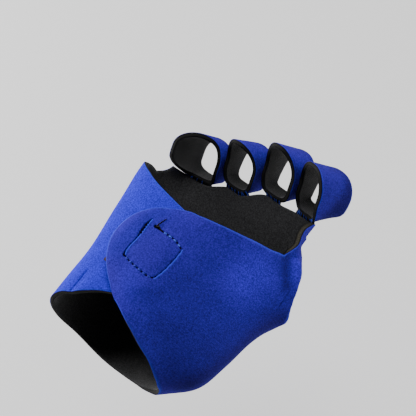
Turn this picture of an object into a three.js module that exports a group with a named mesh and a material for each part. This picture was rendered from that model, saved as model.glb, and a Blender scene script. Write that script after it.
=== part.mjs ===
// A fingerless fitness glove of blue-faced neoprene sheet, in the form it has when worn on a left hand.
// Millimetres. X points to the thumb side, Y to the fingers and Z out of the back of the hand.
// The origin is the middle of the hollow for the hand.
// Clock angles run round the hand: 0 is the back, 90 the little-finger side, 180 the palm, 270 the thumb side.
import * as THREE from 'three';

const wall = 2; // thickness of the neoprene sheet
const gap = 0.3; // space kept between pieces that touch
const tape = 0.6; // thickness of the hook and loop patches

// Outer face of the sheet in rows along the hand: half widths, heights of back and palm.
// A fullness of 2 is an ellipse, and more is squarer.
const sections = [
  { y: -62, thumb: 27.5, little: 30.5, back: 23.7, palm: 23.7, fullness: 2.2 },
  { y: -50, thumb: 27.5, little: 30.5, back: 22.7, palm: 24.7, fullness: 2.2 },
  { y: -34, thumb: 29, little: 31.5, back: 21.7, palm: 25.7, fullness: 2.3 },
  { y: -16, thumb: 36.5, little: 33.2, back: 20.7, palm: 25.7, fullness: 2.4 },
  { y: 4, thumb: 36.5, little: 37.7, back: 20.7, palm: 24.7, fullness: 2.5 },
  { y: 22, thumb: 37.5, little: 41.8, back: 20.7, palm: 23.7, fullness: 2.6 },
  { y: 38, thumb: 37.5, little: 41.8, back: 19.7, palm: 21.7, fullness: 2.6 },
  { y: 55, thumb: 37.5, little: 41.8, back: 18.7, palm: 20.7, fullness: 2.6 },
];

// The sheet's outer face round the ball and the root of the thumb.
const thumb = [
  { x: 24.6, y: -26.7, z: -11.5, radius: 14.1 },
  { x: 26, y: 1, z: -12.9, radius: 13.8 },
  { x: 37, y: 23.8, z: -19.6, radius: 13.9 },
];
const bodyShare = 0.6; // how steeply the hand's own form counts beside the thumb's
const thumbMeld = 12; // how softly the thumb runs into the hand
const jointMeld = 4; // and how softly the thumb's two lengths run into each other

// How the outer face is found: from this distance inwards, until this near, in no more steps than this.
const search = { from: 90, near: 0.002, steps: 90 };

// Columns of the wrap, from the hidden end of the under wing round the palm to the end of the over wing.
// Each runs from the wrist edge to the upper edge, bows sideways by some degrees, lies some millimetres
// above the hand form, and is followed by some cells.
const wrapColumns = [
  { wristClock: -20, wristY: -23, topClock: -18, topY: 10, bow: -4, lift: 0, cells: 4 },
  { wristClock: 0, wristY: -29.5, topClock: 0, topY: 15, bow: 0, lift: 0, cells: 4 },
  { wristClock: 22, wristY: -36.8, topClock: 22, topY: 18, bow: 0, lift: 0, cells: 4 },
  { wristClock: 44, wristY: -41, topClock: 44, topY: 21.5, bow: 0, lift: 0, cells: 5 },
  { wristClock: 70, wristY: -45, topClock: 70, topY: 25, bow: 0, lift: 0, cells: 4 },
  { wristClock: 94, wristY: -47, topClock: 94, topY: 27, bow: 0, lift: 0, cells: 7 },
  { wristClock: 126, wristY: -47, topClock: 128, topY: 22, bow: 0, lift: 0, cells: 9 },
  { wristClock: 164, wristY: -48, topClock: 170, topY: 15, bow: 0, lift: 0, cells: 8 },
  { wristClock: 196, wristY: -47.5, topClock: 203, topY: 13, bow: 0, lift: 0, cells: 2 },
  { wristClock: 208, wristY: -47.5, topClock: 208, topY: 5.5, bow: 0, lift: 0, cells: 3 },
  { wristClock: 222, wristY: -47, topClock: 224, topY: 2, bow: 0, lift: 0, cells: 3 },
  { wristClock: 236, wristY: -46.5, topClock: 240, topY: 8.8, bow: 0, lift: 0, cells: 3 },
  { wristClock: 246, wristY: -46, topClock: 249, topY: 12.5, bow: 0, lift: 0, cells: 3 },
  { wristClock: 255, wristY: -45, topClock: 257, topY: 19.5, bow: 0, lift: 0, cells: 3 },
  { wristClock: 262, wristY: -44.5, topClock: 262, topY: 28.5, bow: 0, lift: 0, cells: 3 },
  { wristClock: 272, wristY: -42.8, topClock: 271, topY: 27.3, bow: 0, lift: 0, cells: 3 },
  { wristClock: 290, wristY: -40, topClock: 288, topY: 24.2, bow: 0, lift: 0, cells: 4 },
  { wristClock: 312, wristY: -38, topClock: 310, topY: 21.8, bow: 0, lift: 0.4, cells: 4 },
  { wristClock: 334, wristY: -35, topClock: 335, topY: 18.5, bow: 9, lift: 2.8, cells: 5 },
  { wristClock: 354, wristY: -30.5, topClock: 357, topY: 15, bow: 26.5, lift: 2.5, cells: 0 },
];
const wrapRows = 12;
const palmFrom = 5; // the palm panel goes on above the wrap between these columns
const palmTo = 8;
const webFrom = 14; // and the web strip above these
const webTo = 15;

// Past this clock angle the wrap is the over wing. It swells over the two patches, fully within the first
// distance from their middle and not at all past the second.
const swell = { past: 270, x: 2, y: -8, rise: 1.8, full: 14, none: 21 };

// Soft folds: from one point to another, how far to each side they reach, and their depth.
const folds = [
  { x: 39.3, y: 28.5, z: -0.8, toX: 45.2, toY: 18, toZ: -7.8, reach: 6, depth: 2 },
  { x: 45.8, y: 27.5, z: -7.4, toX: 46.9, toY: 22, toZ: -10.5, reach: 5, depth: 1 },
  { x: -16.9, y: -40, z: 19.3, toX: -16.3, toY: -28, toZ: 19.3, reach: 4, depth: 0.6 },
];

// Front edge of the palm panel, along the roots of the fingers from the little finger to the index finger.
// It runs straight below each finger loop, where the two are sewn together, and steps up between them.
const crease = [
  { at: 0, x: -41, y: 34.5, z: -9 },
  { at: 0.08, x: -38.8, y: 36, z: -14.5 },
  { at: 0.2, x: -32.5, y: 37.5, z: -19.4 },
  { at: 0.27, x: -27.5, y: 37.6, z: -19.9 },
  { at: 0.38, x: -18.6, y: 42.6, z: -19.9 },
  { at: 0.49, x: -10.2, y: 42.7, z: -19.8 },
  { at: 0.61, x: -0.4, y: 48.4, z: -18 },
  { at: 0.72, x: 8.4, y: 48.5, z: -17.9 },
  { at: 0.83, x: 17.8, y: 49.3, z: -17.6 },
  { at: 0.94, x: 27.4, y: 49, z: -17.3 },
  { at: 1, x: 30.6, y: 48, z: -12 },
];
const palmRows = 8;
const palmSwell = 1.5; // how far the palm panel bulges between its edges

// Web strip between the thumb hole and the back opening, from the wrap to the palm panel.
const web = [
  { at: 0.25, holeX: 37.7, holeY: 33, holeZ: -9.5, backX: 37.3, backY: 34.2, backZ: -2 },
  { at: 0.5, holeX: 33.6, holeY: 36.4, holeZ: -10.7, backX: 34.8, backY: 38.5, backZ: -4 },
  { at: 0.75, holeX: 31.6, holeY: 40.9, holeZ: -13.1, backX: 32.4, backY: 42.8, backZ: -6.5 },
];
const webRows = 8;
const webWall = 2.7; // the strip's edges are turned in, so it is thicker

// Finger loops: centre of the edge next to the knuckle, how far the finger bends down, half sizes,
// where the near and far edges run along the finger at its back, little-finger, palm and thumb sides,
// and how far the palm side draws in towards the far edge.
const loops = [
  {
    name: 'finger_loop_index', x: 22.9, y: 53.9, z: 1.3, bend: 63.5, halfWidth: 9.6, halfDepth: 11.7,
    near: { back: 0, little: 11, palm: 13, thumb: 1.5 }, far: { back: 20, little: 22, palm: 21, thumb: 23.2 },
    taper: 4,
  },
  {
    name: 'finger_loop_middle', x: 4, y: 53, z: 1.2, bend: 63.5, halfWidth: 8.8, halfDepth: 11.7,
    near: { back: 0, little: 9, palm: 13, thumb: 9 }, far: { back: 20, little: 21, palm: 20, thumb: 21 },
    taper: 3,
  },
  {
    name: 'finger_loop_ring', x: -14.3, y: 46.5, z: -1.7, bend: 61, halfWidth: 8.5, halfDepth: 11.2,
    near: { back: 0, little: 8, palm: 12, thumb: 9 }, far: { back: 17, little: 18, palm: 19, thumb: 19 },
    taper: 2.5,
  },
  {
    name: 'finger_loop_little', x: -31.2, y: 42.3, z: -4.3, bend: 63, halfWidth: 8, halfDepth: 10.2,
    near: { back: 0.5, little: -9, palm: 9, thumb: 7 }, far: { back: 11, little: 12, palm: 17, thumb: 15 },
    taper: 2,
  },
];
const loopSteps = 40;
const loopRows = 5;
const loopFullness = 2.3; // of the half at the back of the finger, see the sections above
const loopPalmFullness = 3.4; // and of the half in the palm, which is sewn flat to the palm panel

// Patches: place on the back of the hand and the lift of their outer face.
const patches = [
  { name: 'loop_patch', left: -14.4, right: 13.5, bottom: -21.3, top: -3, lift: gap + tape },
  { name: 'hook_patch', left: -6, right: 14.5, bottom: -17.5, top: 3, lift: 2 * (gap + tape) },
];
const patchCells = 8;

// The value of one column of a table at a place between its rows, on a smooth curve through them.
function along(rows, key, name, at) {
  const last = rows.length - 1;
  const place = THREE.MathUtils.clamp(at, rows[0][key], rows[last][key]);
  const above = rows.findIndex((row) => row[key] > place);
  const from = above < 0 ? last - 1 : above - 1;
  const slope = (k) => {
    const a = rows[Math.max(k - 1, 0)];
    const b = rows[Math.min(k + 1, last)];
    return (b[name] - a[name]) / (b[key] - a[key]);
  };
  const step = rows[from + 1][key] - rows[from][key];
  const t = (place - rows[from][key]) / step;
  const share = 3 * t ** 2 - 2 * t ** 3;
  const turn = (t ** 3 - 2 * t ** 2 + t) * slope(from) + (t ** 3 - t ** 2) * slope(from + 1);
  return (1 - share) * rows[from][name] + share * rows[from + 1][name] + turn * step;
}

function meld(a, b, softness) {
  const share = THREE.MathUtils.clamp(0.5 + (0.5 * (b - a)) / softness, 0, 1);
  return b * (1 - share) + a * share - softness * share * (1 - share);
}

function sectionAt(y) {
  const section = {};
  for (const name of ['thumb', 'little', 'back', 'palm', 'fullness']) {
    section[name] = along(sections, 'y', name, y);
  }
  return section;
}

// Distance of a point from a length of the thumb, less its radius.
function fromThumb(point, a, b) {
  const start = new THREE.Vector3(a.x, a.y, a.z);
  const run = new THREE.Vector3(b.x, b.y, b.z).sub(start);
  const to = point.clone().sub(start);
  const share = THREE.MathUtils.clamp(to.dot(run) / run.lengthSq(), 0, 1);
  return to.addScaledVector(run, -share).length() - THREE.MathUtils.lerp(a.radius, b.radius, share);
}

// Negative inside the hand form and positive outside it.
function fromHand(point, section) {
  const halfWidth = point.x > 0 ? section.thumb : section.little;
  const height = point.z > 0 ? section.back : section.palm;
  const power = section.fullness;
  const times = (Math.abs(point.x / halfWidth) ** power + Math.abs(point.z / height) ** power) ** (1 / power);
  const body = bodyShare * Math.hypot(point.x, point.z) * (1 - 1 / times);
  const thumbs = meld(fromThumb(point, thumb[0], thumb[1]), fromThumb(point, thumb[1], thumb[2]), jointMeld);
  return meld(body, thumbs, thumbMeld);
}

// The point of the hand form, raised by lift, at a clock angle and a row.
function onHand(clock, y, lift) {
  const section = sectionAt(y);
  const angle = THREE.MathUtils.degToRad(clock);
  const bend = 2 / section.fullness;
  const sideways = -Math.sin(angle);
  const upwards = Math.cos(angle);
  const x = Math.sign(sideways) * Math.abs(sideways) ** bend * (sideways > 0 ? section.thumb : section.little);
  const z = Math.sign(upwards) * Math.abs(upwards) ** bend * (upwards > 0 ? section.back : section.palm);
  const direction = new THREE.Vector3(x, 0, z).normalize();
  const point = direction.clone().multiplyScalar(search.from).setY(y);
  let left = fromHand(point, section) - bodyShare * lift;
  for (let step = 0; step < search.steps && left > search.near; step += 1) {
    point.addScaledVector(direction, -left);
    left = fromHand(point, section) - bodyShare * lift;
  }
  return point;
}

// A grid of points: place(across, up) gives each from two shares between 0 and 1.
function lattice(columns, rows, place) {
  return Array.from({ length: columns + 1 }, (_, i) =>
    Array.from({ length: rows + 1 }, (_, j) => place(i / columns, j / rows)));
}

function quadsOf(grid, closed = false) {
  const quads = [];
  const columns = closed ? grid.length : grid.length - 1;
  for (let i = 0; i < columns; i += 1) {
    const next = (i + 1) % grid.length;
    for (let j = 0; j + 1 < grid[i].length; j += 1) {
      quads.push([grid[i][j], grid[i][j + 1], grid[next][j + 1], grid[next][j]]);
    }
  }
  return quads;
}

// A closed solid below the outer face that the quads make, as thick at each point as thicknessAt says.
// The quads' corners run counter-clockwise as seen from outside.
function sheetSolid(quads, thicknessAt) {
  const outer = [];
  const found = new Map();
  const faces = quads.map((quad) => quad.map((point) => {
    const name = point.toArray().map((v) => v.toFixed(3)).join(' ');
    if (!found.has(name)) {
      found.set(name, outer.length);
      outer.push(point);
    }
    return found.get(name);
  }));
  const normals = outer.map(() => new THREE.Vector3());
  for (const [a, b, c, d] of faces) {
    const cross = outer[c].clone().sub(outer[a]).cross(outer[d].clone().sub(outer[b]));
    for (const corner of [a, b, c, d]) {
      normals[corner].add(cross);
    }
  }
  const inner = outer.map((point, i) => (
    point.clone().addScaledVector(normals[i].normalize(), -thicknessAt(point))
  ));
  const below = outer.length;
  const triangles = [];
  const edges = new Map();
  for (const face of faces) {
    const [a, b, c, d] = face;
    triangles.push(a, b, c, a, c, d);
    triangles.push(below + a, below + c, below + b, below + a, below + d, below + c);
    face.forEach((corner, k) => {
      const following = face[(k + 1) % face.length];
      if (!edges.delete(`${following} ${corner}`)) {
        edges.set(`${corner} ${following}`, [corner, following]);
      }
    });
  }
  for (const [a, b] of edges.values()) {
    triangles.push(a, below + a, below + b, a, below + b, b);
  }
  const geometry = new THREE.BufferGeometry();
  const positions = [...outer, ...inner].flatMap((point) => point.toArray());
  geometry.setAttribute('position', new THREE.Float32BufferAttribute(positions, 3));
  geometry.setIndex(triangles);
  geometry.computeVertexNormals();
  return geometry;
}

// How much of its depth a fold has at a place.
function foldShare(fold, place) {
  const start = new THREE.Vector3(fold.x, fold.y, fold.z);
  const end = new THREE.Vector3(fold.toX, fold.toY, fold.toZ);
  const nearest = new THREE.Line3(start, end).closestPointToPoint(place, true, new THREE.Vector3());
  return 1 - THREE.MathUtils.smoothstep(nearest.distanceTo(place), 0, fold.reach);
}

// The lift of the sheet at a place, with the folds, and the swell where the over wing lies on the patches.
function raised(clock, y, lift) {
  const place = onHand(clock, y, 0);
  const away = Math.hypot(place.x - swell.x, place.y - swell.y);
  const covered = 1 - THREE.MathUtils.smoothstep(away, swell.full, swell.none);
  const swollen = clock > swell.past ? covered : 0;
  const folded = folds.reduce((sum, fold) => sum + fold.depth * foldShare(fold, place), 0);
  return Math.max(lift, 0) + swell.rise * swollen - folded;
}

// The wrap's columns as a grid, and the grid column where each row of the table falls.
function wrapGrid() {
  const starts = [];
  let total = 0;
  const stations = wrapColumns.map((column) => {
    starts.push(total);
    const station = { ...column, at: total };
    total += column.cells;
    return station;
  });
  const grid = lattice(total, wrapRows, (across, up) => {
    const at = across * total;
    const value = (name) => along(stations, 'at', name, at);
    const bow = value('bow') * Math.sin(Math.PI * up);
    const clock = THREE.MathUtils.lerp(value('wristClock'), value('topClock'), up) + bow;
    const y = THREE.MathUtils.lerp(value('wristY'), value('topY'), up);
    return onHand(clock, y, raised(clock, y, value('lift')));
  });
  return { grid, starts };
}

function palmGrid(base) {
  return base.map((bottom, i) => {
    const at = i / (base.length - 1);
    const top = new THREE.Vector3(...['x', 'y', 'z'].map((name) => along(crease, 'at', name, at)));
    return Array.from({ length: palmRows + 1 }, (_, j) => {
      const up = j / palmRows;
      return bottom.clone().lerp(top, up).add(new THREE.Vector3(0, 0, -palmSwell * Math.sin(Math.PI * up)));
    });
  });
}

function webGrid(wrapEnd, palmEnd) {
  const last = wrapEnd.length - 1;
  const row = (at, points) => ({
    at,
    holeX: points[0].x, holeY: points[0].y, holeZ: points[0].z,
    backX: points[last].x, backY: points[last].y, backZ: points[last].z,
  });
  const rows = [row(0, wrapEnd), ...web, row(1, palmEnd)];
  const grid = lattice(webRows, last, (at, over) => {
    const hole = new THREE.Vector3(...['holeX', 'holeY', 'holeZ'].map((name) => along(rows, 'at', name, at)));
    const back = new THREE.Vector3(...['backX', 'backY', 'backZ'].map((name) => along(rows, 'at', name, at)));
    return hole.lerp(back, over);
  });
  grid[0] = wrapEnd;
  grid[webRows] = palmEnd;
  return grid;
}

function handWrap() {
  const { grid, starts } = wrapGrid();
  const upperEdge = grid.map((column) => column[wrapRows]);
  const palm = palmGrid(upperEdge.slice(starts[palmFrom], starts[palmTo] + 1));
  const wrapEnd = upperEdge.slice(starts[webFrom], starts[webTo] + 1);
  const palmSide = palm[palm.length - 1];
  const palmEnd = palmSide.slice(palmSide.length - wrapEnd.length);
  const strip = webGrid(wrapEnd, palmEnd).map((row) => [...row].reverse());
  const doubled = new Set(strip.slice(1, -1).flat());
  const thickness = (point) => (doubled.has(point) ? webWall : wall);
  return sheetSolid([...quadsOf(grid), ...quadsOf(palm), ...quadsOf(strip)], thickness);
}

// A value that goes smoothly round a finger through the four that the side names give.
function round(sides, angle) {
  const middle = (sides.back + sides.little + sides.palm + sides.thumb) / 4;
  const between = (sides.back - sides.little + sides.palm - sides.thumb) / 4;
  return middle + ((sides.back - sides.palm) / 2) * Math.cos(angle)
    + ((sides.little - sides.thumb) / 2) * Math.sin(angle) + between * Math.cos(2 * angle);
}

function fingerLoop(loop) {
  const bend = THREE.MathUtils.degToRad(loop.bend);
  const grid = lattice(loopSteps, loopRows, (across, up) => {
    const angle = 2 * Math.PI * across;
    const side = -Math.sin(angle);
    const over = Math.cos(angle);
    const power = 2 / (over > 0 ? loopFullness : loopPalmFullness);
    const x = Math.sign(side) * Math.abs(side) ** power * loop.halfWidth;
    const depth = over > 0 ? loop.halfDepth : loop.halfDepth - loop.taper * up;
    const height = Math.sign(over) * Math.abs(over) ** power * depth;
    const out = THREE.MathUtils.lerp(round(loop.near, angle), round(loop.far, angle), up);
    return new THREE.Vector3(
      loop.x + x,
      loop.y + out * Math.cos(bend) + height * Math.sin(bend),
      loop.z - out * Math.sin(bend) + height * Math.cos(bend),
    );
  });
  grid.pop();
  return sheetSolid(quadsOf(grid, true), () => wall);
}

// The clock angle of a point on the back of the hand.
function clockOf(x, y) {
  const section = sectionAt(y);
  const halfWidth = x > 0 ? section.thumb : section.little;
  const share = Math.abs(x / halfWidth) ** (section.fullness / 2);
  return THREE.MathUtils.radToDeg(-Math.sign(x) * Math.asin(share));
}

function patchSheet(patch) {
  const grid = lattice(patchCells, patchCells, (across, up) => {
    const x = THREE.MathUtils.lerp(patch.right, patch.left, across);
    const y = THREE.MathUtils.lerp(patch.bottom, patch.top, up);
    return onHand(clockOf(x, y), y, patch.lift);
  });
  return sheetSolid(quadsOf(grid), () => tape);
}

const overFace = new THREE.MeshStandardMaterial({ color: 0x2448ad, roughness: 0.85, metalness: 0 });
const loopFace = new THREE.MeshStandardMaterial({ color: 0x2b52bd, roughness: 0.85, metalness: 0 });
const fastening = new THREE.MeshStandardMaterial({ color: 0x18181a, roughness: 0.95, metalness: 0 });

const glove = new THREE.Group();

function add(name, geometry, material) {
  const mesh = new THREE.Mesh(geometry, material);
  mesh.name = name;
  glove.add(mesh);
}

add('hand_wrap', handWrap(), overFace);
for (const loop of loops) {
  add(loop.name, fingerLoop(loop), loopFace);
}
for (const patch of patches) {
  add(patch.name, patchSheet(patch), fastening);
}

export default glove;
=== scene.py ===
import math

import bmesh
import bpy
from mathutils import Matrix, Vector, noise
from mathutils.bvhtree import BVHTree
from mathutils.kdtree import KDTree


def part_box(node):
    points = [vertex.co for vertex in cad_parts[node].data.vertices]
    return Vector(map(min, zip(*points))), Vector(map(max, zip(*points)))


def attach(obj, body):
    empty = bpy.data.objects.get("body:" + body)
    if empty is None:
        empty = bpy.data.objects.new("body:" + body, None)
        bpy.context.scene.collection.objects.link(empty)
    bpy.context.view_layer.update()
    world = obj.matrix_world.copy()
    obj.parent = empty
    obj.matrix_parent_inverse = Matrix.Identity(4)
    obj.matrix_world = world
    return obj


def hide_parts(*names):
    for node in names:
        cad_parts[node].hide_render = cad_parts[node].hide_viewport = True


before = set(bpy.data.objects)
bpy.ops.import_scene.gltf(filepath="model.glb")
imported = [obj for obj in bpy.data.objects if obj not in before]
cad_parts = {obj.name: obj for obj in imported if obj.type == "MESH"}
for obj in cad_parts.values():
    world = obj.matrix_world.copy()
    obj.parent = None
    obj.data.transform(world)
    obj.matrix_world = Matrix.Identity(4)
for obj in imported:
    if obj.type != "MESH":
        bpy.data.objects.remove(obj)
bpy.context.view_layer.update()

mm = 0.001
print("frame loaded:", len(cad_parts), "nodes")

# the camera stands above the wrist edge, on the thumb side, rolled as in the photograph
view = {"place": (0.36291, -0.09603, 0.52970), "turn": (31.4645, 19.0639, 43.6561), "lens": 137.78}

camera = bpy.data.cameras.new("camera")
camera.lens = view["lens"]
camera.sensor_width = 36
cameraObject = bpy.data.objects.new("camera", camera)
cameraObject.location = view["place"]
cameraObject.rotation_euler = [math.radians(a) for a in view["turn"]]
bpy.context.scene.collection.objects.link(cameraObject)
bpy.context.scene.camera = cameraObject

# low light from the little-finger side, as in the photograph, with weaker lamps round it
studio = {
    "lamps": {
        "side": {"toward": (-0.935, -0.286, 0.208), "power": 11.3},
        "above": {"toward": (0.0, 0.50, 0.87), "power": 5.4},
        "thumb": {"toward": (0.71, 0.41, 0.57), "power": 0.9},
    },
    "away": 0.8,
    "lampSize": 0.45,
    "room": 0.06,  # how much the room all round lights the glove
    "walls": 1.9,  # and how bright it looks behind it
    "floorDrop": 0.16,  # the glove is shown held above the floor by this much
    "floorHalf": 4,  # from the floor's middle to its edge
    "floorGrain": 3,
    "floorShades": ((0.3, 0.40), (0.7, 0.43)),
    "floorGlow": 0.75,
}


def areaLight(name, toward, power):
    lamp = bpy.data.lights.new(name, "AREA")
    lamp.shape = "DISK"
    lamp.size = studio["lampSize"]
    lamp.energy = power
    lampObject = bpy.data.objects.new(name, lamp)
    direction = Vector(toward).normalized()
    lampObject.location = direction * studio["away"]
    lampObject.rotation_euler = (-direction).to_track_quat("-Z", "Y").to_euler()
    lampObject.visible_camera = False
    bpy.context.scene.collection.objects.link(lampObject)


for name, lamp in studio["lamps"].items():
    areaLight(name + "_light", **lamp)

world = bpy.data.worlds.new("room")
world.use_nodes = True
roomLight = world.node_tree.nodes["Background"]
roomLight.inputs["Color"].default_value = (1, 1, 1, 1)
seen = world.node_tree.nodes.new("ShaderNodeLightPath")
strength = world.node_tree.nodes.new("ShaderNodeMapRange")
strength.inputs["To Min"].default_value = studio["room"]
strength.inputs["To Max"].default_value = studio["walls"]
world.node_tree.links.new(seen.outputs["Is Camera Ray"], strength.inputs["Value"])
world.node_tree.links.new(strength.outputs["Result"], roomLight.inputs["Strength"])
bpy.context.scene.world = world
print("camera and lamps placed")


class Shader:
    # a new node material, with short ways to add and link nodes
    def __init__(self, name):
        self.material = bpy.data.materials.new(name)
        self.material.use_nodes = True
        self.tree = self.material.node_tree
        self.surface = self.tree.nodes["Principled BSDF"]

    def add(self, kind, **settings):
        node = self.tree.nodes.new(kind)
        for key, value in settings.items():
            if hasattr(node, key):
                setattr(node, key, value)
            else:
                node.inputs[key.replace("_", " ")].default_value = value
        return node

    def link(self, source, target):
        self.tree.links.new(source, target)

    def places(self, stretch=(1, 1, 1)):
        spot = self.add("ShaderNodeTexCoord")
        mapping = self.add("ShaderNodeMapping")
        mapping.inputs["Scale"].default_value = stretch
        self.link(spot.outputs["Object"], mapping.inputs["Vector"])
        return mapping.outputs["Vector"]

    def noise(self, scale, detail=2.0, roughness=0.5, stretch=(1, 1, 1)):
        node = self.add("ShaderNodeTexNoise", Scale=scale, Detail=detail, Roughness=roughness)
        self.link(self.places(stretch), node.inputs["Vector"])
        return node.outputs["Fac"]

    def cells(self, scale):
        node = self.add("ShaderNodeTexVoronoi", Scale=scale)
        self.link(self.places(), node.inputs["Vector"])
        return node.outputs["Distance"]

    def attribute(self, name):
        return self.add("ShaderNodeAttribute", attribute_name=name).outputs["Fac"]

    def ramp(self, value, *stops):
        node = self.add("ShaderNodeValToRGB")
        while len(node.color_ramp.elements) < len(stops):
            node.color_ramp.elements.new(0.5)
        for element, (place, colour) in zip(node.color_ramp.elements, stops):
            element.position = place
            element.color = (*colour, 1) if hasattr(colour, "__len__") else (colour, colour, colour, 1)
        self.link(value, node.inputs["Fac"])
        return node.outputs["Color"]

    def put(self, value, socket):
        if isinstance(value, bpy.types.NodeSocket):
            self.link(value, socket)
        elif hasattr(value, "__len__"):
            socket.default_value = (*value, 1)
        else:
            socket.default_value = value

    def mix(self, share, first, second):
        node = self.add("ShaderNodeMix", data_type="RGBA")
        for value, name in ((share, "Factor"), (first, "A"), (second, "B")):
            self.put(value, next(s for s in node.inputs if s.name == name and s.enabled))
        return next(s for s in node.outputs if s.enabled)

    def maths(self, operation, *values):
        node = self.add("ShaderNodeMath", operation=operation)
        for value, socket in zip(values, node.inputs):
            self.put(value, socket)
        return node.outputs[0]

    def bump(self, *heights):
        # each height is (value, distance in metres)
        normal = None
        for value, distance in heights:
            node = self.add("ShaderNodeBump", Distance=distance, Strength=1.0)
            self.link(value, node.inputs["Height"])
            if normal is not None:
                self.link(normal, node.inputs["Normal"])
            normal = node.outputs["Normal"]
        self.link(normal, self.surface.inputs["Normal"])

    def colour(self, value):
        self.link(value, self.surface.inputs["Base Color"])

    def set(self, **values):
        for key, value in values.items():
            self.surface.inputs[key.replace("_", " ")].default_value = value


# "over" is the cloth of the over wing, the palm and the loops, and "under" is the paler cloth of the under
# wing.
jerseyLook = {
    "over": {"colour": (0.032, 0.0175, 0.345), "darkest": 0.55, "lightest": 1.55},
    "under": {"colour": (0.025, 0.021, 0.57), "darkest": 0.50, "lightest": 1.6},
    "stops": (0.36, 0.5, 0.66),  # where the speckle is darkest, plain and lightest
    "grain": 1600,
    "patchGrain": 110,  # of the broad patches
    "patchShare": 0.12,
    # the painted shade of the seams and needle holes
    "seam": (0.002, 0.002, 0.004),
    "rimHighlightColour": (0.045, 0.085, 1.0),  # a painted highlight where the cloth turns over the cut edge
    "rimHighlight": 0.65,
    "rimFade": 2.0,
    "pitch": 0.55 * mm,  # of the knitted loops
    "knitBump": 0.06 * mm,
    "grainBump": 0.10 * mm,
}
knitWave = {"columns": math.pi / 10, "rows": math.pi / 8}  # scales that make a wave about one pitch long


def shades(look):
    # a colour's stops from dark to light, for the speckle
    shares = (look["darkest"], 1, look["lightest"])
    colours = [tuple(c * share for c in look["colour"]) for share in shares]
    return list(zip(jerseyLook["stops"], colours))


def knitHeight(shader, pitch):
    # rows of knitted loops on the piece's own UV map, in metres
    spot = shader.add("ShaderNodeUVMap", uv_map="knit")
    mapping = shader.add("ShaderNodeMapping")
    mapping.inputs["Scale"].default_value = (1 / pitch, 1 / pitch, 1)
    shader.link(spot.outputs["UV"], mapping.inputs["Vector"])
    columns = shader.add("ShaderNodeTexWave", bands_direction="X", Scale=knitWave["columns"], Distortion=0.6)
    rows = shader.add("ShaderNodeTexWave", bands_direction="Y", Scale=knitWave["rows"], Distortion=0.8)
    shader.link(mapping.outputs["Vector"], columns.inputs["Vector"])
    shader.link(mapping.outputs["Vector"], rows.inputs["Vector"])
    return shader.maths("MULTIPLY", columns.outputs["Fac"], rows.outputs["Fac"])


def jerseyColour(shader):
    # fine speckle and broad patches, paler on the under wing, scaled by the painted light and shade
    speckle = shader.noise(jerseyLook["grain"], detail=3, roughness=0.7)
    broad = shader.noise(jerseyLook["patchGrain"], detail=3)
    share = jerseyLook["patchShare"]
    shade = shader.maths("ADD", shader.maths("MULTIPLY", speckle, 1 - share),
                         shader.maths("MULTIPLY", broad, share))
    over = shader.ramp(shade, *shades(jerseyLook["over"]))
    under = shader.ramp(shade, *shades(jerseyLook["under"]))
    blend = shader.mix(shader.attribute("paler"), over, under)
    paintedShading = shader.add("ShaderNodeVectorMath", operation="SCALE")
    shader.link(blend, paintedShading.inputs["Vector"])
    shader.link(shader.maths("ADD", shader.attribute("painted_light_shade"), 1.0), paintedShading.inputs["Scale"])
    return speckle, paintedShading.outputs[0]


def jersey(name):
    # matt knitted face of the sheet, with a painted highlight on its rims and painted shade in the seams and
    # needle holes
    shader = Shader(name)
    speckle, plain = jerseyColour(shader)
    # the rims' painted highlight fades in from the border
    turned = shader.maths("POWER", shader.attribute("border"), jerseyLook["rimFade"])
    highlighted = shader.mix(shader.maths("MULTIPLY", turned, jerseyLook["rimHighlight"]), plain, jerseyLook["rimHighlightColour"])
    shader.colour(shader.mix(shader.attribute("seam"), highlighted, jerseyLook["seam"]))
    knit = knitHeight(shader, jerseyLook["pitch"])
    shader.bump((knit, jerseyLook["knitBump"]), (speckle, jerseyLook["grainBump"]))
    shader.set(Roughness=0.9, Sheen_Weight=0.02, Sheen_Roughness=0.5, Specular_IOR_Level=0.05)
    shader.surface.inputs["Sheen Tint"].default_value = (0.1, 0.3, 1.0, 1)
    return shader.material


foamLook = {
    "pores": 2600,
    "poreStops": (0.1, 0.6),
    "black": ((0.004, 0.004, 0.004), (0.016, 0.016, 0.015)),
    "olive": ((0.012, 0.011, 0.008), (0.056, 0.051, 0.038)),  # on the web strip
    "skin": (0.004, 0.004, 0.005),  # beside both faces of the sheet: painted shade
    "core": ((0.15, 0.0), (0.40, 1.0), (0.62, 1.0), (0.88, 0.0)),  # how much pores show, by depth, lighter in the middle: partly the pores, partly painted light
    "turned": ((0.05, 1.0), (0.12, 0.0)),  # and how much of the blue face
    "bump": 0.15 * mm,
}


def foam():
    # the cut edge of the sheet: open black foam, with the blue face turned a little over it; its middle is
    # painted lighter and its sides black, partly the pores and partly painted light and shade on the rounded
    # edge
    shader = Shader("foam_edge")
    pores = shader.cells(foamLook["pores"])
    black = shader.ramp(pores, *zip(foamLook["poreStops"], foamLook["black"]))
    olive = shader.ramp(pores, *zip(foamLook["poreStops"], foamLook["olive"]))
    grain = shader.mix(shader.attribute("olive"), black, olive)
    across = shader.attribute("depth")
    cut = shader.mix(shader.ramp(across, *foamLook["core"]), foamLook["skin"], grain)
    shader.colour(shader.mix(shader.ramp(across, *foamLook["turned"]), cut, jerseyColour(shader)[1]))
    shader.bump((pores, foamLook["bump"]))
    shader.set(Roughness=0.85, Specular_IOR_Level=0.15)
    return shader.material


liningLook = {
    "grain": 1700,
    "shades": ((0.35, (0.004, 0.004, 0.005)), (0.65, (0.030, 0.030, 0.033))),
    "pitch": 0.6 * mm,
    "knitBump": 0.08 * mm,
    "grainBump": 0.05 * mm,
}


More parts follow.
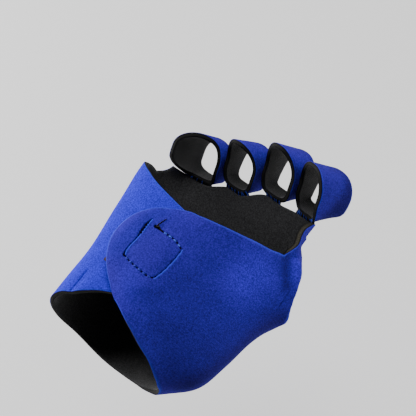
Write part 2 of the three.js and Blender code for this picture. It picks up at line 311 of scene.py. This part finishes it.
def lining():
    # black knit on the inside of the sheet
    shader = Shader("lining")
    speckle = shader.noise(liningLook["grain"], detail=3, roughness=0.7)
    shader.colour(shader.ramp(speckle, *liningLook["shades"]))
    knit = knitHeight(shader, liningLook["pitch"])
    shader.bump((knit, liningLook["knitBump"]), (speckle, liningLook["grainBump"]))
    shader.set(Roughness=0.85, Sheen_Weight=0.25, Sheen_Roughness=0.4, Specular_IOR_Level=0.25)
    return shader.material


threadLook = {
    "ply": 2600,
    "stretch": (1, 1, 0.4),
    "stops": (0.35, 0.65),  # where the ply is dark and light
    "bump": 0.08 * mm,
    "blue": {"dark": (0.02, 0.04, 0.38), "light": (0.04, 0.08, 0.62), "roughness": 0.5, "gloss": 0.2},
    # the pale colours are the blue thread painted lighter: a painted highlight
    "highlit": {"dark": (0.025, 0.07, 0.55), "light": (0.07, 0.17, 1.0), "roughness": 0.45, "gloss": 0.3},
    "black": {"dark": (0.001, 0.001, 0.001), "light": (0.005, 0.005, 0.006), "roughness": 0.7, "gloss": 0.15},
}


def thread(colour):
    # twisted sewing thread: the ply runs across each stitch
    shader = Shader(colour + "_thread")
    look = threadLook[colour]
    ply = shader.noise(threadLook["ply"], detail=2, stretch=threadLook["stretch"])
    shader.colour(shader.ramp(ply, *zip(threadLook["stops"], (look["dark"], look["light"]))))
    shader.bump((ply, threadLook["bump"]))
    shader.set(Roughness=look["roughness"], Specular_IOR_Level=look["gloss"])
    return shader.material


tapeLook = {
    "fuzz": 3000,
    "stops": (0.1, 0.45),  # where the pile is dark and light
    "tuftBump": 0.3 * mm,
    "fuzzBump": 0.1 * mm,
    "loop": {"dark": (0.008, 0.004, 0.001), "light": (0.075, 0.030, 0.003), "tuft": 0.35 * mm},
    "hook": {"dark": (0.004, 0.004, 0.005), "light": (0.03, 0.03, 0.034), "tuft": 0.9 * mm},
}


def pile(kind):
    # hook or loop tape: a dense short pile
    shader = Shader(kind + "_pile")
    look = tapeLook[kind]
    tufts = shader.cells(1 / look["tuft"])
    fuzz = shader.noise(tapeLook["fuzz"], detail=3, roughness=0.7)
    shade = shader.maths("MULTIPLY", tufts, fuzz)
    shader.colour(shader.ramp(shade, *zip(tapeLook["stops"], (look["dark"], look["light"]))))
    shader.bump((tufts, tapeLook["tuftBump"]), (fuzz, tapeLook["fuzzBump"]))
    shader.set(Roughness=0.8, Specular_IOR_Level=0.2)
    return shader.material


faceJersey = jersey("face_jersey")
loopJersey = jersey("loop_jersey")
foamEdge = foam()
blackLining = lining()
blueThread = thread("blue")
highlitThread = thread("highlit")
blackThread = thread("black")
loopPile = pile("loop")
hookPile = pile("hook")
print("materials made:", len(bpy.data.materials))

cloth = {
    "weld": 0.01 * mm,
    "quadAngles": (40, 70),  # two triangles join to a quad below these angles, of turn and of shape
    "sharp": 50,  # an edge turned by more degrees than this borders the cut edge of the sheet
    "outerCrease": 0.6,  # how little the borders of the outer face round off
    "innerCrease": 0.7,  # and those of the lining
    "levels": 2,
    "fits": 3,  # rounds that bring the smooth surface back to the form
    "fitShare": 0.8,
    "sway": 0.3 * mm,  # soft uneven form of the whole sheet
    "swayReach": 17 * mm,
    "swaySeed": 1,
}
noise.seed_set(cloth["swaySeed"])  # without a seed each run has another form


def mergedCopy(node):
    # a copy of a solid's mesh, its loose triangles joined to quads
    shell = bmesh.new()
    shell.from_mesh(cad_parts[node].data)
    bmesh.ops.remove_doubles(shell, verts=shell.verts[:], dist=cloth["weld"])
    turn, corner = (math.radians(angle) for angle in cloth["quadAngles"])
    bmesh.ops.join_triangles(shell, faces=shell.faces[:], angle_face_threshold=turn,
                             angle_shape_threshold=corner)
    return shell


def regionsOf(shell):
    # the faces in groups that no sharp edge divides, the largest area first
    sharp = {e for e in shell.edges if e.calc_face_angle(0) > math.radians(cloth["sharp"])}
    seen = set()
    groups = []
    for start in shell.faces:
        if start in seen:
            continue
        group = [start]
        seen.add(start)
        for face in group:
            for edge in face.edges:
                if edge in sharp:
                    continue
                for other in edge.link_faces:
                    if other not in seen:
                        seen.add(other)
                        group.append(other)
        groups.append(group)
    return sorted(groups, key=lambda group: -sum(f.calc_area() for f in group)), sharp


def settled(piece):
    # the piece's modifiers made part of its mesh
    graph = bpy.context.evaluated_depsgraph_get()
    shape = piece.evaluated_get(graph)
    mesh = bpy.data.meshes.new_from_object(shape, preserve_all_data_layers=True, depsgraph=graph)
    piece.modifiers.clear()
    piece.data = mesh
    return piece


def newPiece(name, shell, materials):
    mesh = bpy.data.meshes.new(name)
    shell.to_mesh(mesh)
    shell.free()
    piece = bpy.data.objects.new(name, mesh)
    bpy.context.scene.collection.objects.link(piece)
    for material in materials:
        mesh.materials.append(material)
    for face in mesh.polygons:
        face.use_smooth = True
    return piece


def clockOf(point):
    return math.degrees(math.atan2(-point.x, point.z))


def windClock(shell, clock, seed):
    # clock angles that run on round the glove, past a full turn, from the vertex nearest the seed
    start = min(shell.verts, key=lambda vert: (vert.co - seed).length)
    start[clock] = clockOf(start.co)
    seen = {start}
    line = [start]
    for vert in line:
        for edge in vert.link_edges:
            other = edge.other_vert(vert)
            if other not in seen:
                turn = clockOf(other.co)
                other[clock] = turn + 360 * round((vert[clock] - turn) / 360)
                seen.add(other)
                line.append(other)


def swayed(point):
    # one smooth field for every soft piece, so they keep their distances
    return point + noise.noise_vector(point / cloth["swayReach"]) * cloth["sway"]


def heldOut(piece):
    # subdivision draws a form in, so its corners move out until the smooth surface meets their old places
    places = [vert.co.copy() for vert in piece.data.vertices]
    for _ in range(cloth["fits"]):
        shape = piece.evaluated_get(bpy.context.evaluated_depsgraph_get())
        drawn = [shape.data.vertices[index].co.copy() for index in range(len(places))]
        for vert, place, now in zip(piece.data.vertices, places, drawn):
            vert.co = vert.co + (place - now) * cloth["fitShare"]
        piece.data.update()
    off = max((place - now).length for place, now in zip(places, drawn))
    print(piece.name, "fitted within", round(off / mm, 2), "mm")


def bordered(piece):
    # marks the border of the outer face, where it turns into the cut edge
    mesh = piece.data
    touching = {}
    for face in mesh.polygons:
        for vert in face.vertices:
            touching.setdefault(vert, set()).add(face.material_index)
    border = mesh.attributes["border"].data
    for vert, kinds in touching.items():
        border[vert].value = 1 if kinds >= {0, 2} else 0
    return piece


def clothPiece(name, node, face, seed=None):
    # material 0 is the outer face, 1 the lining and 2 the cut edge; depth goes from 0 outside to 1 inside
    shell = mergedCopy(node)
    crisp = shell.edges.layers.float.new("crease_edge")
    depth = shell.verts.layers.float.new("depth")
    clock = shell.verts.layers.float.new("clock")
    for extra in ("seam", "paler", "painted_light_shade", "olive", "border"):
        shell.verts.layers.float.new(extra)
    groups, sharp = regionsOf(shell)
    for edge in sharp:
        edge[crisp] = cloth["outerCrease"]
    for index, group in enumerate(groups):
        for item in group:
            item.material_index = min(index, 2)
            if index == 1:
                for vert in item.verts:
                    vert[depth] = 1
    for edge in sharp:
        if edge.verts[0][depth] > 0.5:
            edge[crisp] = cloth["innerCrease"]
    if seed is not None:
        windClock(shell, clock, Vector(seed))
    for vert in shell.verts:
        vert.co = swayed(vert.co)
    piece = newPiece(name, shell, [face, blackLining, foamEdge])
    smooth = piece.modifiers.new("smooth", "SUBSURF")
    smooth.levels = smooth.render_levels = cloth["levels"]
    heldOut(piece)
    return bordered(settled(piece))


def knitMap(piece, around, turn):
    # a UV map in metres: around(place, clock) gives (along the knit, across it), and turn is once round
    mesh = piece.data
    layer = mesh.uv_layers.new(name="knit")
    clock = mesh.attributes["clock"].data
    for face in mesh.polygons:
        first = None
        for loop in face.loop_indices:
            index = mesh.loops[loop].vertex_index
            u, v = around(mesh.vertices[index].co, clock[index].value)
            first = u if first is None else first
            layer.data[loop].uv = (u + turn * round((first - u) / turn), v)


def declare(piece, slot, *nodes):
    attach(piece, "root")
    if nodes:
        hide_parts(*nodes)


def middleOf(node):
    low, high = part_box(node)
    return (low + high) / 2


def stepped(value, start, end):
    # 0 before start, 1 after end, smooth between
    share = min(max((value - start) / (end - start), 0), 1)
    return share * share * (3 - 2 * share)


wrapLook = {
    "radius": 33 * mm,  # rough, for the knit's width
    "underSeed": (8 * mm, -6 * mm, 20.7 * mm),  # a place on the under wing, beneath the over wing
    "paleFrom": 190,  # the paler cloth begins at this clock angle, in the palm
    "paleTo": 150,
    "overFrom": 290,  # past this clock angle the sheet is the over wing
    "underX": -12 * mm,  # the under wing shows where x and y are below these
    "underY": -20 * mm,
    "backZ": 12 * mm,  # the back lies above this
    "facing": 0.4,  # and its faces look up by more than this
    "dentsFrom": 240,  # the dents lie past this clock angle
    "dentsX": 5,  # and to the thumb side of this, in millimetres
    "oliveX": (28 * mm, 32 * mm),  # the web strip's foam turns olive between these
    "oliveY": (26 * mm, 29 * mm),
}

wrap = clothPiece("hand_wrap_cloth", "hand_wrap", faceJersey, wrapLook["underSeed"])

# The square seam on the over wing that holds the hook patch, in millimetres across the back.
# A seam sinks by "sink" and is "half" as wide at the points of its line, and "dark" is how black it is
# painted: painted shade in its groove, and in the slit also the black beneath it.
# The cloth bulges into a narrow lip on the side of the seam that "lip" gives, 1 for left and -1 for right.
seams = [
    {"line": ((-4.4, -14.8), (-5.2, -12.6), (-5.3, -9.8), (-5.1, -6.6), (-5.5, -3.1), (-5.9, 0.4),
              (-5.6, 3.6)),
     "half": (0.38, 0.22, 0.16, 0.24, 0.55, 0.62, 0.12), "sink": 0.9, "dark": 1.0, "steep": True, "lip": -1},
    {"line": ((-2.0, 1.7), (-1.2, 1.9), (0.6, 1.8), (2.4, 1.7)),
     "half": (0.45, 0.55, 0.30, 0.22), "sink": 0.8, "dark": 1.0, "steep": True, "lip": 0},
    {"line": ((2.4, 1.7), (5.7, 1.8), (9.1, 1.9), (11.6, 1.4), (14.1, 0.5)),
     "half": (0.42,) * 5, "sink": 0.3, "dark": 0.5, "steep": False, "lip": 0},
    {"line": ((14.1, 0.5), (14.5, -1.4), (14.6, -4.2), (14.5, -7.2), (14.3, -10.0), (13.8, -13.0),
              (13.2, -15.3)),
     "half": (0.30,) * 7, "sink": 0.5, "dark": 0.4, "steep": False, "lip": 1},
    {"line": ((13.2, -15.2), (11.7, -15.9), (9.7, -16.1), (6.3, -16.0), (3.3, -15.8), (0.2, -15.6),
              (-4.4, -14.8)),
     "half": (0.5, 0.5, 0.5, 0.5, 0.5, 0.5, 0.4), "sink": 0.3, "dark": 0.2, "steep": False, "lip": 0},
    {"line": ((-16.5, -38.5), (-17.5, -27.5)),
     "half": (0.6, 0.35), "sink": 0.35, "dark": 0.2, "steep": False, "lip": 0},
]
# The cloth round the seams, in millimetres.
square = {
    "middle": (4.7, -7.0),  # where the square's middle is
    "far": 9,  # farther from the seams than they reach
    "finer": (3.2, 1.5, 0.75),  # the mesh is made finer within these distances of the seams
    "margin": 0.5,  # the outermost of that mesh isn't smoothed
    "smoothings": 4,  # and the rest is, so many times and by this share
    "smoothing": 0.5,
    "ragged": 0.22,  # a steep seam's width varies by this share
    "raggedWaves": 5.1,
    "raggedFrom": (0.2, 0.5),  # which begins and is full at these half widths
    "steepSides": (-0.08, 0.14),  # its sides slope between these, measured from its half width
    "steepDark": (0.06, 0.2),  # and its painted shade fades between these
    "softDark": (0.7, 1.25),  # a soft seam's painted shade fades between these shares of its half width
    "holeSink": 0.6,
    "holeSides": (0.75, 1.3),  # a hole's sides slope between these shares of its size
    "puff": 0.35,  # the cloth bulges by this much inside the seam
    "puffFrom": (0.2, 4.0),  # which begins and is full this far from the seams
    "puffTo": (8.5, 10.5),  # and ends between these distances from the middle
    "pucker": 0.10,  # the cloth is drawn into small waves beside the holes
    "puckerReach": 1.9,
    "pitch": 2.7,  # of the holes and the waves
    "ridge": (-4.2, 7.8, 0.22),  # a small fold beyond the slit: its place and height
    "ridgeReach": (0.3, 1.0),
    "lip": 0.2,  # how high a lip rises, then how far off the seam, how broad and how light its painted highlight is
    "lipAway": 0.42,
    "lipReach": 0.34,
    "lipShine": 1.15,
}
# Rows of needle holes and of the stitches between them, with each stitch's length and width.
# A hole is "long" along its seam and "wide" across it, and the pale stitches are painted lighter: a painted
# highlight.
rows = [
    {"seam": 4, "first": 0.6, "last": 17.0, "long": 0.62, "wide": 0.30, "stitch": (1.1, 0.55), "highlit": False},
    {"seam": 2, "first": 0.5, "last": 11.3, "long": 0.55, "wide": 0.30, "stitch": (1.5, 0.78), "highlit": True},
    {"seam": 3, "first": 1.3, "last": 15.0, "long": 0.50, "wide": 0.22, "stitch": None, "highlit": False},
]
# Soft dents of the over wing, and bulges where the depth is below 0: from one place to another.
dents = [
    {"from": (24.1, 0.5, 18.8), "to": (34.0, -14.3, 9.5), "reach": 5.0, "depth": 0.45},
    {"from": (13.5, -27.0, 20.5), "to": (26.0, -29.5, 13.0), "reach": 5.5, "depth": 0.35},
    {"from": (47.1, 16.9, -11.2), "to": (47.4, 14.5, -13.0), "reach": 1.6, "depth": 0.4},
    {"from": (45.3, 8.8, -19.6), "to": (46.5, 10.6, -16.9), "reach": 2.5, "depth": -0.7},
    {"from": (45.6, 20.2, -9.2), "to": (46.2, 19.0, -9.9), "reach": 2.0, "depth": -0.6},
]
# Painted light and painted shade: where the cloth is painted lighter or darker for how the light falls, from
# one place to another, reach and share.
# "paler" draws its hue towards the under wing's.
paintedLightShade = [
    {"from": (37.0, 13.0, 6.5), "to": (36.5, 9.0, 7.5), "reach": 10.0, "share": 0.65, "paler": 0.2},
    {"from": (-10.7, -14.0, 24.0), "to": (-6.0, 8.0, 24.0), "reach": 6.5, "share": -0.22, "paler": 0.3},
    {"from": (8.0, 14.0, 23.0), "to": (-2.0, 12.0, 23.0), "reach": 6.0, "share": 0.10},
    {"from": (2.0, -26.0, 21.0), "to": (8.0, -30.0, 20.0), "reach": 7.0, "share": 0.15},
    {"from": (41.5, 28.5, -3.5), "to": (44.0, 24.0, -5.5), "reach": 2.4, "share": 0.5, "paler": 0.2},
    {"from": (38.6, 27.0, 0.0), "to": (42.8, 18.5, -6.0), "reach": 2.7, "share": -0.55},
    {"from": (8.8, -24.5, 24.3), "to": (4.0, -19.0, 24.5), "reach": 5.0, "share": 0.15, "paler": 0.15},
    {"from": (25.9, -3.8, 17.6), "to": (27.0, -12.0, 15.0), "reach": 9.0, "share": -0.10},
    {"from": (28.6, -31.3, 10.0), "to": (31.0, -33.0, 5.0), "reach": 6.0, "share": -0.12},
    {"from": (37.5, -36.0, -11.0), "to": (45.0, 6.0, -17.0), "reach": 6.5, "share": -0.45},
    {"from": (36.0, -36.0, -3.8), "to": (33.0, -40.0, -6.0), "reach": 9.0, "share": -0.28},
]


def fromLine(place, line):
    # distance from a line of points, the leg and the share of it, the length so far, and the side
    best = (math.inf, 0, 0, 0, 1)
    length = 0
    for leg, (start, end) in enumerate(zip(line, line[1:])):
        run = Vector(end) - Vector(start)
        way = Vector(place) - Vector(start)
        share = min(max(way.dot(run) / run.length_squared, 0), 1)
        away = (way - run * share).length
        if away < best[0]:
            side = math.copysign(1, run.x * way.y - run.y * way.x)
            best = (away, leg, share, length + share * run.length, side)
        length += run.length
    return best


def alongLine(line, far):
    # the place at a distance along a line, and the direction there
    for start, end in zip(line, line[1:]):
        run = Vector(end) - Vector(start)
        if far <= run.length or end == line[-1]:
            return Vector(start) + run.normalized() * far, run.normalized()
        far -= run.length


def holePlaces(row):
    line = seams[row["seam"]]["line"]
    count = round((row["last"] - row["first"]) / square["pitch"]) + 1
    step = (row["last"] - row["first"]) / (count - 1)
    return [alongLine(line, row["first"] + step * index) for index in range(count)]


holes = [(row, *place) for row in rows for place in holePlaces(row)]


def seamForm(x, y):
    # at a place on the back: how far the cloth rises, how dark it is painted as shade in seams and needle
    # holes, how near a seam is, and a lip's share
    rise = dark = lip = 0
    nearest = square["far"]
    for seam in seams:
        away, leg, share, length, side = fromLine((x, y), seam["line"])
        half = seam["half"][leg] + (seam["half"][leg + 1] - seam["half"][leg]) * share
        if seam["steep"]:
            wave = square["ragged"] * math.sin(length * square["raggedWaves"])
            half *= 1 + wave * stepped(half, *square["raggedFrom"])
            deep = 1 - stepped(away, *(half + past for past in square["steepSides"]))
            black = 1 - stepped(away, *(half + past for past in square["steepDark"]))
        else:
            deep = math.exp(-(away / half) ** 2)
            black = 1 - stepped(away, *(half * times for times in square["softDark"]))
        rise = min(rise, -seam["sink"] * deep)
        dark = max(dark, seam["dark"] * black)
        nearest = min(nearest, away)
        if seam["lip"] == side and 0 < share + leg < len(seam["line"]) - 1:
            lip = max(lip, math.exp(-((away - half - square["lipAway"]) / square["lipReach"]) ** 2))
    # a needle hole sinks and is painted black by the same share: painted shade in the hole
    for row, hole, ahead in holes:
        way = Vector((x, y)) - hole
        away = math.hypot(way.dot(ahead) / row["long"], (way.x * ahead.y - way.y * ahead.x) / row["wide"])
        deep = 1 - stepped(away, *square["holeSides"])
        rise = min(rise, -square["holeSink"] * deep)
        dark = max(dark, deep)
    within = math.dist((x, y), square["middle"])
    rise += square["puff"] * stepped(nearest, *square["puffFrom"]) * (1 - stepped(within, *square["puffTo"]))
    for row in rows:
        away, _, _, length, _ = fromLine((x, y), seams[row["seam"]]["line"])
        waves = math.cos(2 * math.pi * (length - row["first"]) / square["pitch"])
        rise -= square["pucker"] * waves * math.exp(-(away / square["puckerReach"]) ** 2)
    rise += square["lip"] * lip
    ridgeX, ridgeY, ridge = square["ridge"]
    reachX, reachY = square["ridgeReach"]
    rise += ridge * math.exp(-((x - ridgeX) / reachX) ** 2 - ((y - ridgeY) / reachY) ** 2)
    return rise, dark, nearest, lip


def softShare(place, spots, size):
    # the sum of soft spots round lines between two places, in millimetres
    total = 0
    for spot in spots:
        away = fromLine(place, (spot["from"], spot["to"]))[0]
        total += spot.get(size, 0) * math.exp(-(away / spot["reach"]) ** 2)
    return total


def ownWing(place, clock):
    # whether a place on the back belongs to the wing that shows there
    overShows = place.x > wrapLook["underX"] or place.y > wrapLook["underY"]
    return overShows == (clock > wrapLook["overFrom"])


def fromSeams(face, clock):
    # a face's distance from the seams, far for one inside, in the palm or on the other wing
    middle = face.calc_center_median()
    outside = face.material_index == 0 and middle.z >= wrapLook["backZ"]
    if not outside or not ownWing(middle, face.verts[0][clock]):
        return square["far"]
    return seamForm(middle.x / mm, middle.y / mm)[2]


def sewWrap(piece):
    # finer mesh beside the seams, then the seams sunk into it
    shell = bmesh.new()
    shell.from_mesh(piece.data)
    layers = shell.verts.layers.float
    clock = layers["clock"]
    for reach in square["finer"]:
        near = {face for face in shell.faces if fromSeams(face, clock) < reach}
        edges = [edge for edge in shell.edges if not near.isdisjoint(edge.link_faces)]
        bmesh.ops.subdivide_edges(shell, edges=edges, cuts=1, use_grid_fill=True)
    inner = square["finer"][0] - square["margin"]
    fine = {face for face in shell.faces if fromSeams(face, clock) < inner}
    soft = [vert for vert in shell.verts if not fine.isdisjoint(vert.link_faces)]
    for _ in range(square["smoothings"]):
        bmesh.ops.smooth_vert(shell, verts=soft, factor=square["smoothing"], use_axis_x=True,
                              use_axis_y=True, use_axis_z=True)
    shell.normal_update()
    raised = {face for face in shell.faces if face.material_index == 0 and face.normal.z > wrapLook["facing"]}
    lips = {}
    for vert in shell.verts:
        if raised.isdisjoint(vert.link_faces) or not ownWing(vert.co, vert[clock]):
            continue
        rise, dark, _, lip = seamForm(vert.co.x / mm, vert.co.y / mm)
        vert.co = vert.co + vert.normal * rise * mm
        vert[layers["seam"]] = dark
        lips[vert] = lip
    for vert in shell.verts:
        spot = vert.co / mm
        paler = stepped(vert[clock], wrapLook["paleFrom"], wrapLook["paleTo"])
        # painted light and painted shade from the table, none on the paler cloth
        vert[layers["painted_light_shade"]] = softShare(spot, paintedLightShade, "share") * (1 - paler)
        vert[layers["paler"]] = min(paler + softShare(spot, paintedLightShade, "paler"), 1)
        # the lips get the rims' painted highlight
        vert[layers["border"]] = max(vert[layers["border"]], square["lipShine"] * lips.get(vert, 0))
        if vert[clock] > wrapLook["dentsFrom"] and spot.x > wrapLook["dentsX"]:
            vert.co = vert.co - vert.normal * softShare(spot, dents, "depth") * mm
        olive = stepped(vert.co.x, *wrapLook["oliveX"]) * stepped(vert.co.y, *wrapLook["oliveY"])
        vert[layers["olive"]] = olive
    shell.to_mesh(piece.data)
    shell.free()
    print("wrap sewn:", len(piece.data.polygons), "faces")


sewWrap(wrap)
knitMap(wrap, lambda place, clock: (math.radians(clock) * wrapLook["radius"], place.y),
        2 * math.pi * wrapLook["radius"])
declare(wrap, "face_fabric", "hand_wrap")

loopLook = {
    "names": ("index", "middle", "ring", "little"),
    "radius": 10 * mm,  # rough, for the knit's width
    "palmShade": -0.55,  # the palm side is painted darker: painted shade
    # the painted shade begins at the first height and is full at the second, lower one
    "backZ": -6 * mm,
    "palmZ": -14 * mm,
    # how much lighter each loop is painted: painted light
    "painted_light_shade": {"index": 0.0, "middle": 0.15, "ring": 0.1, "little": 0.0},
}


def makeLoop(finger):
    # one loop's cloth, painted lighter by finger and with painted shade on its palm side
    node = f"finger_loop_{finger}"
    piece = clothPiece(node + "_cloth", node, loopJersey)
    middle = middleOf(node)
    knitMap(piece, lambda place, clock: (math.radians(clockOf(place - middle)) * loopLook["radius"], place.y),
            2 * math.pi * loopLook["radius"])
    painted_light_shade = piece.data.attributes["painted_light_shade"].data
    for vert in piece.data.vertices:
        palm = stepped(vert.co.z, loopLook["backZ"], loopLook["palmZ"])
        painted_light_shade[vert.index].value = loopLook["painted_light_shade"][finger] + loopLook["palmShade"] * palm
    declare(piece, "loop_fabric", node)
    return piece


loops = {finger: makeLoop(finger) for finger in loopLook["names"]}

tapeShare = {"loop_patch": 0.92, "hook_patch": 0.97}  # each tape's size, as a share of its patch's


def makePatch(name, material):
    # one half of the fastening
    shell = mergedCopy(name)
    middle = middleOf(name)
    for vert in shell.verts:
        vert.co.xy = middle.xy + (vert.co.xy - middle.xy) * tapeShare[name]
        vert.co = swayed(vert.co)
    piece = newPiece(name + "_tape", shell, [material])
    declare(piece, "fastening_tape", name)
    return piece


loopPatch = makePatch("loop_patch", loopPile)
hookPatch = makePatch("hook_patch", hookPile)
print("cloth pieces made")


def treeOf(piece):
    mesh = piece.data
    return BVHTree.FromPolygons([v.co for v in mesh.vertices], [f.vertices[:] for f in mesh.polygons])


wrapTree = treeOf(wrap)
stitchLook = {
    "above": 100 * mm,  # the back is sought downwards from here
    "lift": 0.15 * mm,  # a stitch's middle lies this high on the cloth
    "height": 0.45 * mm,
    "segments": (8, 6),  # round and along a stitch
}


def onBackAt(x, y):
    # the place on the back at x, y in millimetres, and its normal
    place, normal, _, _ = wrapTree.ray_cast(Vector((x * mm, y * mm, stitchLook["above"])), Vector((0, 0, -1)))
    return place, normal


def bead(shell, start, end, normal, width, height):
    # one stitch: a short rounded length of thread
    run = end - start
    side = normal.cross(run).normalized()
    up = run.normalized().cross(side)
    turn = Matrix((side, up, run.normalized())).transposed().to_4x4()
    size = Matrix.Diagonal((width / 2, height / 2, run.length / 2, 1))
    around, along = stitchLook["segments"]
    bmesh.ops.create_uvsphere(shell, u_segments=around, v_segments=along, radius=1,
                              matrix=Matrix.Translation((start + end) / 2) @ turn @ size)


def smoothPath(points, steps=5):
    # a smooth curve through the points
    path = []
    for index in range(len(points) - 1):
        before, after = points[max(index - 1, 0)], points[min(index + 2, len(points) - 1)]
        here, there = points[index], points[index + 1]
        for step in range(steps):
            t = step / steps
            bend = 2 * before - 5 * here + 4 * there - after
            twist = 3 * here - before - 3 * there + after
            path.append(0.5 * (2 * here + (there - before) * t + bend * t * t + twist * t ** 3))
    return path + [points[-1]]


def runThrough(shell, places, segments=8):
    # a closed skin through circles of radius 1 at these places
    ring = None
    for index, place in enumerate(places):
        atEnd = index in (0, len(places) - 1)
        made = bmesh.ops.create_circle(shell, cap_ends=atEnd, segments=segments, radius=1, matrix=place)
        edges = list({edge for vert in made["verts"] for edge in vert.link_edges})
        if ring is not None:
            bmesh.ops.bridge_loops(shell, edges=ring + edges)
        ring = edges
    bmesh.ops.recalc_face_normals(shell, faces=shell.faces[:])


threadEnds = {
    "radius": 0.32 * mm,
    "webRadius": 0.24 * mm,
    "taper": 0.45,  # the free end is thinner by this share
    "lift": 0.16,  # in millimetres
    "square": (  # on the back, in millimetres across it
        ((-1.4, 1.9), (-1.0, 2.7), (-0.83, 3.7), (-0.37, 5.6), (-0.1, 6.8)),
        ((-0.9, 2.4), (0.1, 2.5), (1.1, 2.0), (2.6, 1.6)),
    ),
    "web": (  # on the web strip's cut edge, in millimetres, and how far off it
        ((36.6, 26.9, 1.4), 0.1), ((36.0, 28.6, -0.1), 0.2), ((35.2, 30.4, -1.2), 0.3),
        ((34.9, 31.2, -1.0), 0.9), ((34.7, 31.5, -0.6), 1.7),
    ),
}


def threadRun(shell, points, radius):
    # a thin round thread along the points
    path = smoothPath(points)
    places = []
    for index, point in enumerate(path):
        ahead = path[min(index + 1, len(path) - 1)] - path[max(index - 1, 0)]
        turn = ahead.to_track_quat("Z", "Y").to_matrix().to_4x4()
        size = radius * (1 - threadEnds["taper"] * index / len(path))
        places.append(Matrix.Translation(point) @ turn @ Matrix.Diagonal((size, size, size, 1)))
    runThrough(shell, places)


def stitchPiece(name, highlit, material):
    # the blue stitches of the square, or the pale ones painted lighter as a painted highlight
    stitching = bmesh.new()
    for row in rows:
        if row["stitch"] is None or row["highlit"] != highlit:
            continue
        long, wide = row["stitch"]
        places = [place for place, _ in holePlaces(row)]
        for before, after in zip(places, places[1:]):
            middle = (before + after) / 2
            run = (after - before).normalized() * long / 2
            start, normal = onBackAt(*(middle - run))
            end, _ = onBackAt(*(middle + run))
            lift = normal * stitchLook["lift"]
            bead(stitching, start + lift, end + lift, normal, wide * mm, stitchLook["height"])
    declare(newPiece(name, stitching, [material]), "face_fabric")


stitchPiece("square_stitches", False, blueThread)
stitchPiece("square_highlit_stitches", True, highlitThread)

squareEnds = bmesh.new()
for line in threadEnds["square"]:
    spots = [onBackAt(x, y) for x, y in line]
    threadRun(squareEnds, [place + normal * threadEnds["lift"] * mm for place, normal in spots],
              threadEnds["radius"])
declare(newPiece("square_thread_end", squareEnds, [blackThread]), "face_fabric")

webEnd = bmesh.new()
points = []
for spot, off in threadEnds["web"]:
    place, normal, _, _ = wrapTree.find_nearest(Vector(spot) * mm)
    points.append(place + normal * off * mm)
threadRun(webEnd, points, threadEnds["webRadius"])
declare(newPiece("web_thread_end", webEnd, [blackThread]), "face_fabric")
print("seams and thread ends made")

# each loop is sewn to the palm: a flat seam between their cut edges, with stitches over it
loopSeam = {
    "reach": 2.8 * mm,  # the two edges are joined where they are this near
    "pitch": 1.5 * mm,
    "grip": 0.5 * mm,  # how far the seam goes into each edge
    "thick": 1.1 * mm,
    "segments": 12,
    "core": (0.3, 0.7),  # the seam runs between these depths of the sheet
    "stitch": (0.45 * mm, 0.30 * mm),
}


def cutEdge(piece):
    # places about halfway through the sheet on its cut edge
    mesh = piece.data
    depth = mesh.attributes["depth"].data
    low, high = loopSeam["core"]
    cut = {index for face in mesh.polygons if face.material_index == 2 for index in face.vertices}
    return [mesh.vertices[index].co.copy() for index in sorted(cut) if low <= depth[index].value <= high]


wrapEdge = cutEdge(wrap)
wrapFinder = KDTree(len(wrapEdge))
for index, place in enumerate(wrapEdge):
    wrapFinder.insert(place, index)
wrapFinder.balance()


def edgePairs(loop):
    # for each stitch, the place of the loop's cut edge that is nearest to the palm's, and the palm's
    nearest = {}
    for place in cutEdge(loop):
        other, _, away = wrapFinder.find(place)
        step = round(place.x / loopSeam["pitch"])
        if away < loopSeam["reach"] and (step not in nearest or away < nearest[step][0]):
            nearest[step] = (away, place, other)
    return [nearest[step][1:] for step in sorted(nearest)]


def sewLoop(finger, loop):
    # the flat seam between a loop and the palm, and its stitches
    pairs = edgePairs(loop)
    centres = [(place + other) / 2 for place, other in pairs]
    middle = middleOf(f"finger_loop_{finger}")
    wide, high = loopSeam["stitch"]
    sewing = bmesh.new()
    places = []
    for index, (place, other) in enumerate(pairs):
        ahead = (centres[min(index + 1, len(pairs) - 1)] - centres[max(index - 1, 0)]).normalized()
        across = other - place
        across = across - ahead * across.dot(ahead)
        half = across.length / 2 + loopSeam["grip"]
        across.normalize()
        up = ahead.cross(across)
        if up.dot(centres[index] - middle) < 0:
            up.negate()
        turn = Matrix((across, up, across.cross(up))).transposed().to_4x4()
        size = Matrix.Diagonal((half, loopSeam["thick"] / 2, 1, 1))
        places.append(Matrix.Translation(centres[index]) @ turn @ size)
        top = centres[index] + up * loopSeam["thick"] / 2
        bead(sewing, top - across * half, top + across * half, up, wide, high)
    strip = bmesh.new()
    runThrough(strip, places, segments=loopSeam["segments"])
    declare(newPiece(f"loop_seam_{finger}", strip, [blackThread]), "loop_fabric")
    declare(newPiece(f"loop_stitches_{finger}", sewing, [blueThread]), "loop_fabric")
    print("loop seam", finger, len(pairs), "stitches")


for finger, loop in loops.items():
    sewLoop(finger, loop)


def floorMaterial():
    # pale and matt, and a little uneven
    shader = Shader("floor")
    shader.colour(shader.ramp(shader.noise(studio["floorGrain"], detail=2), *studio["floorShades"]))
    shader.set(Roughness=0.9, Specular_IOR_Level=0.1, Emission_Strength=studio["floorGlow"])
    shader.surface.inputs["Emission Color"].default_value = (1, 1, 1, 1)
    return shader.material


ground = bmesh.new()
bmesh.ops.create_grid(ground, x_segments=2, y_segments=2, size=studio["floorHalf"])
bmesh.ops.translate(ground, verts=ground.verts[:], vec=(0, 0, -studio["floorDrop"]))
floor = newPiece("floor", ground, [floorMaterial()])

print("scene finished")
